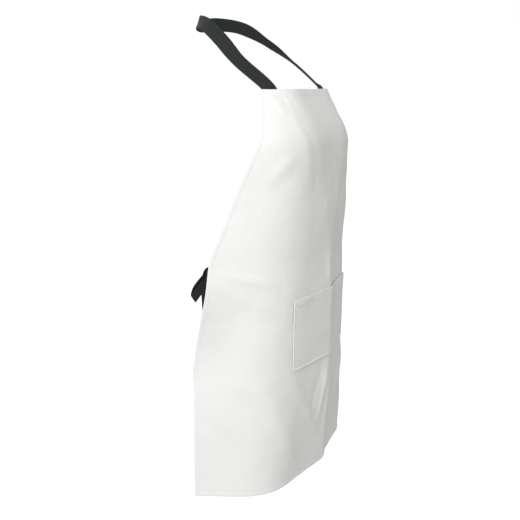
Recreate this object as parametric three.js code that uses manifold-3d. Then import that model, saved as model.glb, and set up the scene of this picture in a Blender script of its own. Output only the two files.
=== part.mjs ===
// Butcher apron, worn and tied, as an assembly of its sewn pieces. Millimetres, +Z up.
// +X is the wearer's left, +Y is towards the wearer's back, so the apron's front faces -Y.
// The origin is the inside of the neck strap at the nape, where the wearer's neck carries the apron.
import * as THREE from "three";
import Module from "manifold-3d";

const wasm = await Module();
wasm.setup();
const { Manifold, Mesh: SolidMesh } = wasm;

// ---- sizes of the cut and sewn cloth ----
const LENGTH = 860; // top edge to bottom edge, along the centre front
const WIDTH = 760; // side edge to side edge at the skirt, laid flat
const WAIST_WIDTH = 688; // side corner to side corner, where the ties are sewn
const FLARE_DROP = 580; // from the top edge to where the sides reach the full width
const BIB_WIDTH = 344; // top edge, laid flat
const ARMHOLE_DROP = 340; // from the top edge to the side corner
const ARMHOLE_FLARE = 0.84; // 1 is a straight armhole, less bows outwards
const CLOTH = 0.8; // thickness of one ply
const PLY_GAP = 0.6; // clearance between two sewn plies
const TOP_HEM = 18; // turned depth of the bib's top hem
const EDGE_HEM = 12; // turned depth of every other hem
const HEM_MITRE = 1; // clearance where two hems meet

// ---- pocket ----
const POCKET_WIDTH = 320;
const POCKET_HEIGHT = 160;
const POCKET_DROP = 440; // from the top edge to the pocket's mouth
const MOUTH_HEM = 20; // turned depth of the mouth hem, inside the pocket
const MOUTH_GAPE = 3; // how far the middle of the mouth stands off the apron

// ---- webbing ----
const WEB_WIDTH = 30;
const WEB_THICK = 1.6;
const STRAP_INSET = 4; // from the bib's corner to the strap's outer edge
const SEWN_LENGTH = 32; // length of strap sewn down behind a hem
const TACK_WIDTH = 18; // bar tacks and box stitches
const TACK_BAR = 2.4; // width of one bar of thread
const TACK_THICK = 0.7;
const NECK_SWING_RADIUS = 14; // round clearance about the hinge line at the bib's top edge
const SWING_GAP = 0.4; // clearance between a sewn end and the strap that swings on it

// ---- how the worn apron hangs: the front of the body at five drops from the top edge ----
// turn is how far the cloth has turned round the side, middle and span say where across it turns,
// and setback is how far the centre front lies behind its foremost line.
const BODY = [
  { drop: 0, turn: 56, middle: 120, span: 120, setback: 50 },
  { drop: 120, turn: 50, middle: 152, span: 150, setback: 2 },
  { drop: 375, turn: 47, middle: 178, span: 160, setback: 0 },
  { drop: 600, turn: 68, middle: 216, span: 226, setback: 2 },
  { drop: 860, turn: 69, middle: 231, span: 165, setback: 14 },
];
const CHEST_HALF = 105; // half-width of the flat chest facet at the top edge
const CHEST_POINT = 375; // the facet narrows to the centre crease at this drop
const CREASE_TURN = 7; // turn of the cloth at the crease, each side
const CREASE_SPAN = 14;
const FALL = 0.975; // height lost per length of cloth, because the cloth leans

// ---- the lattice every sewn ply shares, so that plies lie parallel ----
const COLUMNS = 38;
const ROWS = 43;
const ROW = LENGTH / ROWS;

const rad = THREE.MathUtils.degToRad;
const smooth = (t) => THREE.MathUtils.smoothstep(t, 0, 1);
const mix = THREE.MathUtils.lerp;

function halfWidth(drop) {
  const armhole = Math.min(drop / ARMHOLE_DROP, 1) ** ARMHOLE_FLARE;
  const flare = THREE.MathUtils.clamp((drop - ARMHOLE_DROP) / (FLARE_DROP - ARMHOLE_DROP), 0, 1);
  return (mix(BIB_WIDTH, WAIST_WIDTH, armhole) + (WIDTH - WAIST_WIDTH) * flare) / 2;
}

// The lattice's own measure across, from -1 to 1, of a distance from the centre front.
const acrossU = (across, drop) => across / halfWidth(drop);

// One of the body's measures at any drop: a smooth curve through the five levels.
function bodyAt(key, drop) {
  const last = BODY.length - 1;
  let k = 0;
  while (k < last - 1 && drop > BODY[k + 1].drop) k++;
  const a = BODY[k];
  const b = BODY[k + 1];
  const slope = (i, j) => (BODY[j][key] - BODY[i][key]) / (BODY[j].drop - BODY[i].drop);
  const here = slope(k, k + 1);
  const tangent = (before, after) => {
    if (before * after <= 0) return 0;
    return (2 * before * after) / (before + after);
  };
  const ta = k > 0 ? tangent(slope(k - 1, k), here) : here;
  const tb = k < last - 1 ? tangent(here, slope(k + 1, k + 2)) : here;
  const h = b.drop - a.drop;
  const t = (drop - a.drop) / h;
  const t2 = t * t;
  const t3 = t2 * t;
  return (
    (2 * t3 - 3 * t2 + 1) * a[key] +
    (t3 - 2 * t2 + t) * h * ta +
    (3 * t2 - 2 * t3) * b[key] +
    (t3 - t2) * h * tb
  );
}

// The turn of the cloth, in radians, at a distance across from the centre front.
function turnAt(across, drop) {
  const facet = CHEST_HALF * Math.max(1 - drop / CHEST_POINT, 0);
  const crease = rad(CREASE_TURN) * smooth((across - facet) / CREASE_SPAN + 0.5);
  const start = bodyAt("middle", drop) - bodyAt("span", drop) / 2;
  const side = rad(bodyAt("turn", drop) - CREASE_TURN) * smooth((across - start) / bodyAt("span", drop));
  return crease + side;
}

// The cross-section at one drop, walked outwards from the centre front in short steps.
const STEP = 2;
function crossSection(drop) {
  const points = [new THREE.Vector2(0, 0)];
  for (let across = STEP / 2; across < WIDTH / 2 + 3 * STEP; across += STEP) {
    const turn = turnAt(across, drop);
    const from = points[points.length - 1];
    points.push(new THREE.Vector2(from.x + STEP * Math.cos(turn), from.y + STEP * Math.sin(turn)));
  }
  return points;
}

const NAPE = new THREE.Vector3(0, 315, 138); // middle of the strap at the nape, before the shift
const SHIFT = new THREE.Vector3(0, WEB_THICK / 2 - NAPE.y, -NAPE.z); // puts the origin inside the nape

// A point of the cloth's middle face: u runs from -1 at the wearer's right edge to 1 at the left.
function formed(u, drop, section) {
  const across = Math.abs(u) * halfWidth(drop);
  const k = Math.floor(across / STEP);
  const p = section[k].clone().lerp(section[k + 1], across / STEP - k);
  return new THREE.Vector3(Math.sign(u) * p.x, p.y + bodyAt("setback", drop), -drop * FALL).add(SHIFT);
}

const lattice = [];
for (let j = 0; j <= ROWS; j++) {
  const drop = j * ROW;
  const section = crossSection(drop);
  const row = [];
  for (let i = 0; i <= COLUMNS; i++) {
    row.push(formed((2 * i) / COLUMNS - 1, drop, section));
  }
  lattice.push(row);
}

const facing = lattice.map((row, j) =>
  row.map((_, i) => {
    const left = row[Math.max(i - 1, 0)];
    const right = row[Math.min(i + 1, COLUMNS)];
    const up = lattice[Math.max(j - 1, 0)][i];
    const down = lattice[Math.min(j + 1, ROWS)][i];
    return new THREE.Vector3()
      .crossVectors(right.clone().sub(left), up.clone().sub(down))
      .normalize();
  }),
);

function onLattice(grid, u, drop) {
  const x = THREE.MathUtils.clamp(((u + 1) / 2) * COLUMNS, 0, COLUMNS);
  const y = THREE.MathUtils.clamp(drop / ROW, 0, ROWS);
  const i = Math.min(Math.floor(x), COLUMNS - 1);
  const j = Math.min(Math.floor(y), ROWS - 1);
  const upper = grid[j][i].clone().lerp(grid[j][i + 1], x - i);
  const lower = grid[j + 1][i].clone().lerp(grid[j + 1][i + 1], x - i);
  return upper.lerp(lower, y - j);
}

// A point at a distance in front of the cloth's middle face, or behind it when negative.
function onCloth(u, drop, out) {
  return onLattice(lattice, u, drop).addScaledVector(onLattice(facing, u, drop), out);
}

// ---- materials ----
const cloth = new THREE.MeshStandardMaterial({ color: 0xf2f2f0, roughness: 0.78, metalness: 0 });
const hemCloth = new THREE.MeshStandardMaterial({ color: 0xeeeeeb, roughness: 0.8, metalness: 0 });
const webbing = new THREE.MeshStandardMaterial({ color: 0x2c3333, roughness: 0.85, metalness: 0 });
const thread = new THREE.MeshStandardMaterial({ color: 0xfafaf7, roughness: 0.6, metalness: 0 });

const apron = new THREE.Group();
apron.name = "butcher_apron";

function add(name, geometry, material) {
  const mesh = new THREE.Mesh(geometry, material);
  mesh.name = name;
  apron.add(mesh);
  return mesh;
}

// A box whose every point is moved by place(x, y, z), each of x, y, z from 0 to 1.
function shapedBox(nx, ny, nz, place) {
  const box = new THREE.BoxGeometry(1, 1, 1, nx, ny, nz).translate(0.5, 0.5, 0.5);
  const at = box.getAttribute("position");
  for (let k = 0; k < at.count; k++) {
    const p = place(at.getX(k), at.getY(k), at.getZ(k));
    at.setXYZ(k, p.x, p.y, p.z);
  }
  box.computeVertexNormals();
  return box;
}

// One ply of cloth: uAt and dropAt give the ply's place on the apron for its own two directions,
// the second running up the ply. inner and outer are distances in front of the middle face.
function ply(name, material, across, along, uAt, dropAt, inner, outer) {
  const lift = (side, x, y) => (typeof side === "function" ? side(x, y) : side);
  const geometry = shapedBox(across, along, 1, (x, y, z) => {
    const out = mix(lift(inner, x, y), lift(outer, x, y), z);
    return onCloth(uAt(x, y), dropAt(x, y), out);
  });
  return add(name, geometry, material);
}

// ---- the apron panel ----
const FRONT_FACE = CLOTH / 2;
const BACK_FACE = -CLOTH / 2;
ply(
  "apron_panel", cloth, COLUMNS, ROWS,
  (x) => 2 * x - 1,
  (x, y) => LENGTH * (1 - y),
  BACK_FACE, FRONT_FACE,
);

// ---- hems, each turned to the inside and sewn down ----
const HEM_FRONT = BACK_FACE - PLY_GAP;
const HEM_BACK = HEM_FRONT - CLOTH;
const HEM_EDGE = 0.4; // a turned edge sits this far inside the edge it is turned from
const inset = (distance, drop) => 1 - distance / halfWidth(drop);

ply(
  "top_hem", hemCloth, COLUMNS, 1,
  (x, y) => (2 * x - 1) * inset(HEM_EDGE, TOP_HEM * (1 - y)),
  (x, y) => mix(TOP_HEM, HEM_EDGE, y),
  HEM_BACK, HEM_FRONT,
);

const bottomTop = LENGTH - EDGE_HEM;
ply(
  "bottom_hem", hemCloth, COLUMNS, 1,
  (x, y) => (2 * x - 1) * inset(HEM_EDGE, LENGTH),
  (x, y) => mix(LENGTH - HEM_EDGE, bottomTop, y),
  HEM_BACK, HEM_FRONT,
);

// The drops between two ends at which a strip has edges: its own ends and the lattice's rows.
function dropsBetween(from, to) {
  const drops = [from];
  for (let j = Math.ceil(from / ROW); j * ROW < to; j++) {
    if (j * ROW - from > 1 && to - j * ROW > 1) drops.push(j * ROW);
  }
  return [...drops, to];
}

const armholeTop = TOP_HEM + HEM_MITRE;
const sideTop = ARMHOLE_DROP + HEM_MITRE / 2;
const sideBottom = bottomTop - HEM_MITRE;
for (const [side, hand] of [["right", -1], ["left", 1]]) {
  const strip = (name, from, to) => {
    const drops = dropsBetween(from, to);
    const pieces = drops.length - 1;
    const dropAt = (x, y) => drops[Math.round(pieces * (1 - y))];
    const depthAt = (x) => (hand < 0 ? mix(HEM_EDGE, EDGE_HEM, x) : mix(EDGE_HEM, HEM_EDGE, x));
    const uAt = (x, y) => hand * inset(depthAt(x), dropAt(x, y));
    ply(name, hemCloth, 1, pieces, uAt, dropAt, HEM_BACK, HEM_FRONT);
  };
  strip("armhole_hem_" + side, armholeTop, ARMHOLE_DROP - HEM_MITRE / 2);
  strip("side_hem_" + side, sideTop, sideBottom);
}

// ---- pocket ----
const POCKET_COLUMNS = Math.round((POCKET_WIDTH / WIDTH) * COLUMNS);
const POCKET_ROWS = Math.round(POCKET_HEIGHT / ROW);
const gape = (x, y) => MOUTH_GAPE * y * y * Math.sin(Math.PI * x) ** 2;
const pocketU = (x, drop) => acrossU((x - 0.5) * POCKET_WIDTH, drop);
const pocketDrop = (y) => POCKET_DROP + POCKET_HEIGHT * (1 - y);
const POCKET_BACK = FRONT_FACE + PLY_GAP;
const MOUTH_HEM_GAP = PLY_GAP + CLOTH; // room for the mouth hem behind the pocket
const standOff = (x, y) => POCKET_BACK + MOUTH_HEM_GAP * smooth((y - 0.6) / 0.25) + gape(x, y);
ply(
  "pocket", cloth, POCKET_COLUMNS, POCKET_ROWS,
  (x, y) => pocketU(x, pocketDrop(y)),
  (x, y) => pocketDrop(y),
  standOff,
  (x, y) => standOff(x, y) + CLOTH,
);
const mouthDrop = (y) => POCKET_DROP + mix(MOUTH_HEM, HEM_EDGE, y);
const mouthHeight = (y) => 1 - (mouthDrop(y) - POCKET_DROP) / POCKET_HEIGHT;
const MOUTH_HEM_END = 0.004; // of the pocket's width, left free at each end
const mouthX = (x) => mix(MOUTH_HEM_END, 1 - MOUTH_HEM_END, x);
ply(
  "pocket_mouth_hem", hemCloth, POCKET_COLUMNS, 1,
  (x, y) => pocketU(mouthX(x), mouthDrop(y)),
  (x, y) => mouthDrop(y),
  (x, y) => standOff(mouthX(x), mouthHeight(y)) - PLY_GAP / 2 - CLOTH,
  (x, y) => standOff(mouthX(x), mouthHeight(y)) - PLY_GAP / 2,
);

// Bar tacks at the two ends of the mouth, on the pocket's face.
const TACK_HEIGHT = 12;
for (const [side, hand] of [["right", -1], ["left", 1]]) {
  const inner = hand * (POCKET_WIDTH / 2 - 2 - TACK_BAR);
  const outer = hand * (POCKET_WIDTH / 2 - 2);
  const tackDrop = (y) => POCKET_DROP + mix(2 + TACK_HEIGHT, 2, y);
  const tackU = (x, y) => acrossU(mix(Math.min(inner, outer), Math.max(inner, outer), x), tackDrop(y));
  const face = POCKET_BACK + MOUTH_HEM_GAP + CLOTH + PLY_GAP;
  ply(
    "pocket_tack_" + side, thread, 1, 1,
    tackU,
    (x, y) => tackDrop(y),
    face, face + TACK_THICK,
  );
}

// ---- webbing ----
// A flat strap along a curve. widthAt gives the direction of its width, and the thickness lies
// to both sides of the curve.
function strapBox(curve, widthAt, pieces) {
  return shapedBox(2, pieces, 1, (x, y, z) => {
    const centre = curve.getPoint(y);
    const along = curve.getTangent(y);
    const width = widthAt(y).clone();
    width.addScaledVector(along, -width.dot(along)).normalize();
    const normal = new THREE.Vector3().crossVectors(width, along);
    return centre
      .addScaledVector(width, (x - 0.5) * WEB_WIDTH)
      .addScaledVector(normal, (z - 0.5) * WEB_THICK);
  });
}

// The direction between listed directions, one for each point that a curve goes through.
function turning(list) {
  return (t) => {
    const at = Math.min(t, 1) * (list.length - 1);
    const k = Math.min(Math.floor(at), list.length - 2);
    return list[k].clone().lerp(list[k + 1], smooth(at - k)).normalize();
  };
}

function toSolid(geometry) {
  const plain = geometry.toNonIndexed();
  const at = plain.getAttribute("position");
  const key = new Map();
  const points = [];
  const corners = [];
  for (let k = 0; k < at.count; k++) {
    const p = [at.getX(k), at.getY(k), at.getZ(k)].map((c) => Math.round(c * 1e3) / 1e3);
    const name = p.join();
    if (!key.has(name)) {
      key.set(name, key.size);
      points.push(...p);
    }
    corners.push(key.get(name));
  }
  const solid = new SolidMesh({
    numProp: 3,
    vertProperties: new Float32Array(points),
    triVerts: new Uint32Array(corners),
  });
  return new Manifold(solid);
}

function toGeometry(solid) {
  const mesh = solid.getMesh();
  const geometry = new THREE.BufferGeometry();
  geometry.setAttribute("position", new THREE.BufferAttribute(mesh.vertProperties, 3));
  geometry.setIndex(new THREE.BufferAttribute(mesh.triVerts, 1));
  geometry.computeVertexNormals();
  return geometry;
}

// A round bar along X at a hinge line, longer than the apron is wide.
const HINGE_BAR = 900;
const BAR_FACETS = 64;
function hingeBar(radius, at) {
  return Manifold.cylinder(HINGE_BAR, radius, radius, BAR_FACETS, true)
    .rotate([0, 90, 0])
    .translate([0, at.y, at.z]);
}
const FAR = 2000; // larger than the apron
function below(at) {
  return Manifold.cube([FAR, FAR, FAR], true).translate([0, at.y, at.z - FAR / 2]);
}

const STRAP_FRONT = HEM_BACK - PLY_GAP; // the face of a strap sewn behind a hem
const STRAP_OUT = STRAP_FRONT - WEB_THICK / 2;
const strapAcross = BIB_WIDTH / 2 - STRAP_INSET - WEB_WIDTH / 2;
const mirrored = (p) => new THREE.Vector3(-p.x, p.y, p.z);

// The neck strap's sewn end on the wearer's right side follows the cloth up to the top edge,
// and goes straight on above it. x is across the strap, rise is the height above its foot.
function sewnAt(x, rise, out) {
  const across = -strapAcross + (x - 0.5) * WEB_WIDTH;
  const drop = Math.max(SEWN_LENGTH - rise, 0);
  const top = onCloth(acrossU(across, 0), 0, out);
  if (drop > 0) return onCloth(acrossU(across, drop), drop, out);
  const foot = onCloth(acrossU(across, ROW / 2), ROW / 2, out);
  return top.clone().addScaledVector(top.clone().sub(foot).normalize(), rise - SEWN_LENGTH);
}
const sewnFoot = sewnAt(0.5, 0, STRAP_OUT);
const sewnTop = sewnAt(0.5, SEWN_LENGTH, STRAP_OUT);
const NECK_RISE = 16; // from the top edge up to the hinge line
const neckHinge = sewnAt(0.5, SEWN_LENGTH + NECK_RISE, STRAP_OUT);

// From the seam the strap leans back over the shoulder to the nape.
const rightLeg = [
  sewnFoot,
  sewnTop,
  neckHinge,
  ...[
    [-147, 152, 56],
    [-120, 206, 100],
    [-90, 258, 134],
    [-46, 300, 142],
  ].map(([x, y, z]) => new THREE.Vector3(x, y, z).add(SHIFT)),
];
const nape = NAPE.clone().add(SHIFT);
const neckPoints = [...rightLeg, nape, ...rightLeg.map(mirrored).reverse()];
const neckCurve = new THREE.CatmullRomCurve3(neckPoints, false, "centripetal");

// Which way the strap's width runs at each of those points, up to the nape.
const clothWidth = sewnAt(1, SEWN_LENGTH, 0).sub(sewnAt(0, SEWN_LENGTH, 0)).normalize();
const rightWidths = [
  clothWidth,
  clothWidth,
  clothWidth,
  new THREE.Vector3(0.7, -0.5, 0.5),
  new THREE.Vector3(0.37, -0.63, 0.68),
  new THREE.Vector3(0.25, -0.5, 0.83),
  new THREE.Vector3(0.1, -0.3, 0.95),
];
const napeWidth = new THREE.Vector3(0, -0.15, 1);
const neckWidth = turning([...rightWidths, napeWidth, ...rightWidths.map(mirrored).reverse()]);

const NECK_PIECES = 72; // facets along the neck strap
const wholeStrap = toSolid(strapBox(neckCurve, neckWidth, NECK_PIECES));
const neckOuter = hingeBar(NECK_SWING_RADIUS + SWING_GAP, neckHinge).add(below(neckHinge));
add("neck_strap", toGeometry(wholeStrap.subtract(neckOuter)), webbing);
const neckInner = hingeBar(NECK_SWING_RADIUS, neckHinge).add(below(neckHinge));
const END_ROWS = [0, SEWN_LENGTH - ROW, SEWN_LENGTH, SEWN_LENGTH + NECK_RISE + NECK_SWING_RADIUS];
for (const [side, hand] of [["right", -1], ["left", 1]]) {
  const end = toSolid(
    shapedBox(4, END_ROWS.length - 1, 1, (x, y, z) => {
      const rise = END_ROWS[Math.round(y * (END_ROWS.length - 1))];
      return sewnAt(x, rise, STRAP_OUT + (z - 0.5) * WEB_THICK);
    }),
  ).intersect(neckInner);
  add("strap_end_" + side, toGeometry(hand < 0 ? end : end.mirror([1, 0, 0])), webbing);
}

// ---- waist ties ----
// Each tie is sewn to the inside of its side corner, runs round the back to the knot, folds back
// there into a loop, folds back again and hangs as a tail. The knot's band holds the folds.
const TIE_DROP = ARMHOLE_DROP + 24; // from the top edge to the tie's middle
const TIE_INSET = 5; // from the side edge to the tie's end
const TIE_CLEAR = 0.4; // extra clearance behind the side hem
const TIE_LEAVE = 34; // from where the tie leaves the cloth to its hinge line
const KNOT = new THREE.Vector3(0, 275, -417).add(SHIFT); // middle of the tie nearest the wearer
const LAYER = 6; // from one fold to the next, backwards
const KNOT_WIDTH = 24;
const KNOT_SIDE = 3; // half the gap between the two ties inside the knot
const LOOP_REACH = 98;
const LOOP_DROOP = 60;
const LOOP_BELLY = 9; // how far a loop's two legs spread beyond their layers
const TAIL_LENGTH = 300;
const TAIL_SPLAY = 14;

const TIE_OUT = STRAP_OUT - TIE_CLEAR;
const tieU = (inward) => -inset(TIE_INSET + inward, TIE_DROP);
const tieSewn = [0, SEWN_LENGTH / 2, SEWN_LENGTH].map((inward) =>
  onCloth(tieU(inward), TIE_DROP, TIE_OUT),
);
const tieLeaves = tieSewn[2];
const tieUpright = onCloth(tieU(SEWN_LENGTH / 2), TIE_DROP - ROW, 0)
  .sub(onCloth(tieU(SEWN_LENGTH / 2), TIE_DROP + ROW, 0))
  .normalize();
const toKnot = KNOT.clone().sub(tieLeaves);
const tieHinge = tieLeaves.clone().addScaledVector(toKnot, TIE_LEAVE / toKnot.length());

// A point by the knot: right is the distance to the wearer's right of it, layer counts the folds.
const byKnot = (right, layer, down) =>
  KNOT.clone().add(new THREE.Vector3(-right, layer * LAYER, -down));
const inKnot = KNOT_WIDTH / 2;
const fold = (layer) => [
  byKnot(inKnot, layer, 0),
  byKnot(KNOT_SIDE + LAYER / 2, layer, 0),
  byKnot(KNOT_SIDE, layer + 0.5, 0),
  byKnot(KNOT_SIDE + LAYER / 2, layer + 1, 0),
  byKnot(inKnot, layer + 1, 0),
];
const belly = LOOP_BELLY / LAYER;
const tiePoints = [
  ...tieSewn,
  tieHinge,
  tieHinge.clone().lerp(KNOT, 0.35).setZ(mix(tieHinge.z, KNOT.z, 0.45)),
  tieHinge.clone().lerp(KNOT, 0.7).setZ(mix(tieHinge.z, KNOT.z, 0.8)),
  ...fold(0),
  byKnot(LOOP_REACH * 0.45, 1 - belly * 0.5, LOOP_DROOP * 0.22),
  byKnot(LOOP_REACH * 0.85, 1 - belly * 0.2, LOOP_DROOP * 0.75),
  byKnot(LOOP_REACH, 1.5, LOOP_DROOP),
  byKnot(LOOP_REACH * 0.85, 2 + belly * 0.4, LOOP_DROOP * 0.75),
  byKnot(LOOP_REACH * 0.45, 2 + belly * 0.4, LOOP_DROOP * 0.22),
  ...fold(2),
  byKnot(inKnot + 14, 3.9, 5),
  byKnot(inKnot + 24, 4.3, 22),
  byKnot(inKnot + 25, 4.3, 50),
  byKnot(inKnot + 22, 4, TAIL_LENGTH * 0.5),
  byKnot(inKnot + 22 + TAIL_SPLAY * 0.5, 3.8, TAIL_LENGTH * 0.8),
  byKnot(inKnot + 22 + TAIL_SPLAY, 3.6, TAIL_LENGTH),
];
const upright = new THREE.Vector3(0, 0, 1);
const sideways = new THREE.Vector3(-1, 0, 0);
const TAIL_TURNS = 6; // points from the knot's last fold to the tail's tip
const tieWidths = tiePoints.map((_, k) => {
  const toEnd = tiePoints.length - k;
  if (k < tieSewn.length) return tieUpright;
  if (toEnd > TAIL_TURNS) return upright;
  if (toEnd === TAIL_TURNS) return new THREE.Vector3(-0.35, 0, 0.94);
  if (toEnd === TAIL_TURNS - 1) return new THREE.Vector3(-0.94, 0, 0.35);
  return sideways;
});
const tieCurve = new THREE.CatmullRomCurve3(tiePoints, false, "centripetal");
const tieWidth = turning(tieWidths);
const TIE_SEGMENTS = 4; // facets between one point of the route and the next
const slab = (x0, x1) => Manifold.cube([x1 - x0, FAR, FAR]).translate([x0, -FAR / 2, -FAR / 2]);
const rightTie = toSolid(strapBox(tieCurve, tieWidth, TIE_SEGMENTS * (tiePoints.length - 1)));
const rightTieEnd = rightTie.intersect(slab(-FAR, tieHinge.x - SWING_GAP / 2));
const rightTieFree = rightTie.intersect(slab(tieHinge.x + SWING_GAP / 2, FAR));
for (const [side, hand] of [["right", -1], ["left", 1]]) {
  const turned = (solid) => toGeometry(hand < 0 ? solid : solid.mirror([1, 0, 0]));
  add("tie_end_" + side, turned(rightTieEnd), webbing);
  add("waist_tie_" + side, turned(rightTieFree), webbing);
}

// The knot's band, wrapped round all the folds.
const bandDepth = 3 * LAYER + WEB_THICK + 2 * PLY_GAP;
const bandHeight = WEB_WIDTH + 2 * PLY_GAP;
function roundedBlock(height, depth, round, width) {
  const shape = new THREE.Shape();
  const y = depth / 2 - round;
  const z = height / 2 - round;
  shape.absarc(y, z, round, 0, Math.PI / 2);
  shape.absarc(-y, z, round, Math.PI / 2, Math.PI);
  shape.absarc(-y, -z, round, Math.PI, 1.5 * Math.PI);
  shape.absarc(y, -z, round, 1.5 * Math.PI, 2 * Math.PI);
  shape.closePath();
  const block = new THREE.ExtrudeGeometry(shape, { depth: width, bevelEnabled: false, curveSegments: 6 });
  // the shape's x and y become the part's Y and Z, and its depth runs along X
  const turn = new THREE.Matrix4().makeBasis(
    new THREE.Vector3(0, 1, 0),
    new THREE.Vector3(0, 0, 1),
    new THREE.Vector3(1, 0, 0),
  );
  block.translate(0, 0, -width / 2).applyMatrix4(turn);
  return toSolid(block);
}
const BAND_ROUND = 1; // rounding of the band's inside corners
const bandInner = roundedBlock(bandHeight, bandDepth, BAND_ROUND, KNOT_WIDTH * 2);
const bandOuter = roundedBlock(
  bandHeight + 2 * WEB_THICK,
  bandDepth + 2 * WEB_THICK,
  BAND_ROUND + WEB_THICK,
  KNOT_WIDTH,
);
const bandMiddle = byKnot(0, 1.5, 0);
add(
  "waist_knot",
  toGeometry(bandOuter.subtract(bandInner).translate(bandMiddle.toArray())),
  webbing,
);

// A box stitch with a cross in it, laid on a face: at(x, y, out) is the point x across and y up.
const BAR_PIECES = 3; // facets along one bar
function boxStitch(name, width, height, at) {
  const bar = (x0, y0, x1, y1) => {
    const run = new THREE.Vector2(x1 - x0, y1 - y0);
    const beside = new THREE.Vector2(-run.y, run.x).setLength(TACK_BAR / 2);
    return toSolid(
      shapedBox(1, BAR_PIECES, 1, (x, y, z) =>
        at(
          x0 + run.x * y - beside.x * (2 * x - 1),
          y0 + run.y * y - beside.y * (2 * x - 1),
          TACK_THICK * z,
        ),
      ),
    );
  };
  const w = width / 2;
  const h = height / 2;
  const end = TACK_BAR / 2;
  const bars = [
    bar(-w - end, -h, w + end, -h),
    bar(-w - end, h, w + end, h),
    bar(-w, -h - end, -w, h + end),
    bar(w, -h - end, w, h + end),
    bar(-w, -h, w, h),
    bar(w, -h, -w, h),
  ];
  add(name, toGeometry(Manifold.union(bars)), thread);
}

const STITCH_HEIGHT = 11;
for (const [side, hand] of [["right", -1], ["left", 1]]) {
  boxStitch("strap_stitch_" + side, TACK_WIDTH, STITCH_HEIGHT, (x, y, out) => {
    const drop = TOP_HEM / 2 - y;
    return onCloth(acrossU(hand * strapAcross + x, drop), drop, FRONT_FACE + PLY_GAP + out);
  });
  boxStitch("tie_stitch_" + side, TACK_WIDTH, TACK_WIDTH, (x, y, out) => {
    const across = hand * (halfWidth(TIE_DROP) - TIE_INSET - SEWN_LENGTH / 2) + x;
    return onCloth(acrossU(across, TIE_DROP - y), TIE_DROP - y, FRONT_FACE + PLY_GAP + out);
  });
}

export default apron;
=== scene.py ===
import bpy
import math
import numpy as np
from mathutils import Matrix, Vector


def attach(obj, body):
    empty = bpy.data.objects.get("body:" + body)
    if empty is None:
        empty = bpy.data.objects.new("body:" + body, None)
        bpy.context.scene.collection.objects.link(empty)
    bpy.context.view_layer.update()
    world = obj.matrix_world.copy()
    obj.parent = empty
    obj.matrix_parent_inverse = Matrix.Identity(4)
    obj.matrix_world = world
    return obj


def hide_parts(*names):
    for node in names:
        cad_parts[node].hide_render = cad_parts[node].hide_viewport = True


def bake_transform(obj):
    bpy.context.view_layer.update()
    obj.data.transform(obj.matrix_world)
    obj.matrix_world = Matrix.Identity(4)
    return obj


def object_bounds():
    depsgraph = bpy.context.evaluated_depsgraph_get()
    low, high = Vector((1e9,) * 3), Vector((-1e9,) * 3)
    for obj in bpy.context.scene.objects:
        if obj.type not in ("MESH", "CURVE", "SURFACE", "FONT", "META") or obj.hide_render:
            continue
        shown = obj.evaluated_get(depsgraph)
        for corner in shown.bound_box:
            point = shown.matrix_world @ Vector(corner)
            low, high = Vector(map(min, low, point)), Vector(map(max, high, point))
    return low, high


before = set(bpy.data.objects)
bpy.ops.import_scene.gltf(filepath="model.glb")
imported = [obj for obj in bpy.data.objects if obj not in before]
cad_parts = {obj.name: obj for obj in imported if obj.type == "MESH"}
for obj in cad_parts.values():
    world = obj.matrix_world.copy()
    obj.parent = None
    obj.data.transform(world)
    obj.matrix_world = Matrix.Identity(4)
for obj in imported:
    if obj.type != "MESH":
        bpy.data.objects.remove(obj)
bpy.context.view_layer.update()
bpy.ops.object.select_all(action="DESELECT")

# Butcher apron, worn and tied. The cloth is worked out in millimetres and built in metres.
MM = 0.001

# sizes of the cut and sewn cloth
LENGTH = 860
WIDTH = 760
WAIST_WIDTH = 688
FLARE_DROP = 580
BIB_WIDTH = 344
ARMHOLE_DROP = 340
ARMHOLE_FLARE = 0.84
CLOTH = 0.8
HEM_PLIES = 1.8  # back of a hem, behind the middle of the panel's own cloth
TOP_HEM = 18
EDGE_HEM = 12
STITCH_IN = 2  # from a hem's inner edge to its stitches
POCKET_WIDTH = 320
POCKET_HEIGHT = 160
POCKET_DROP = 440
MOUTH_HEM = 20
MOUTH_LINE = MOUTH_HEM - 2.5
SEAM_TURN = 6
SEAM_INSET = 4.6
WEB_WIDTH = 30
WEB_THICK = 1.6
STRAP_INSET = 4
SEWN_LENGTH = 32
NECK_RISE = 16
TIE_DROP = ARMHOLE_DROP + 24
TIE_INSET = 5
TIE_LEAVE = 34
NAPE = np.array([0, 315, 138.0])
SHIFT = np.array([0, WEB_THICK / 2, 0]) - NAPE
KNOT = np.array([0, 275, -417.0]) + SHIFT

# how the apron hangs on the wearer, at five drops below the top edge
BODY_DROP = [0, 120, 375, 600, 860]
BODY_TURN = [56, 50, 47, 68, 69]
BODY_MIDDLE = [120, 152, 178, 216, 231]
BODY_SPAN = [120, 150, 160, 226, 165]
BODY_SETBACK = [50, 2, 0, 2, 14]
CHEST_HALF = 105
CHEST_POINT = 375
CREASE_TURN = 7
CREASE_SPAN = 14
FALL = 0.975


def smooth(t):
    """An even start and stop between 0 and 1."""
    t = np.clip(t, 0, 1)
    return t * t * (3 - 2 * t)


def half_width(drop):
    """From the centre front to the cut edge, at a drop below the top edge."""
    armhole = np.clip(drop / ARMHOLE_DROP, 0, 1) ** ARMHOLE_FLARE
    flare = np.clip((drop - ARMHOLE_DROP) / (FLARE_DROP - ARMHOLE_DROP), 0, 1)
    return (BIB_WIDTH + (WAIST_WIDTH - BIB_WIDTH) * armhole + (WIDTH - WAIST_WIDTH) * flare) / 2


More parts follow.
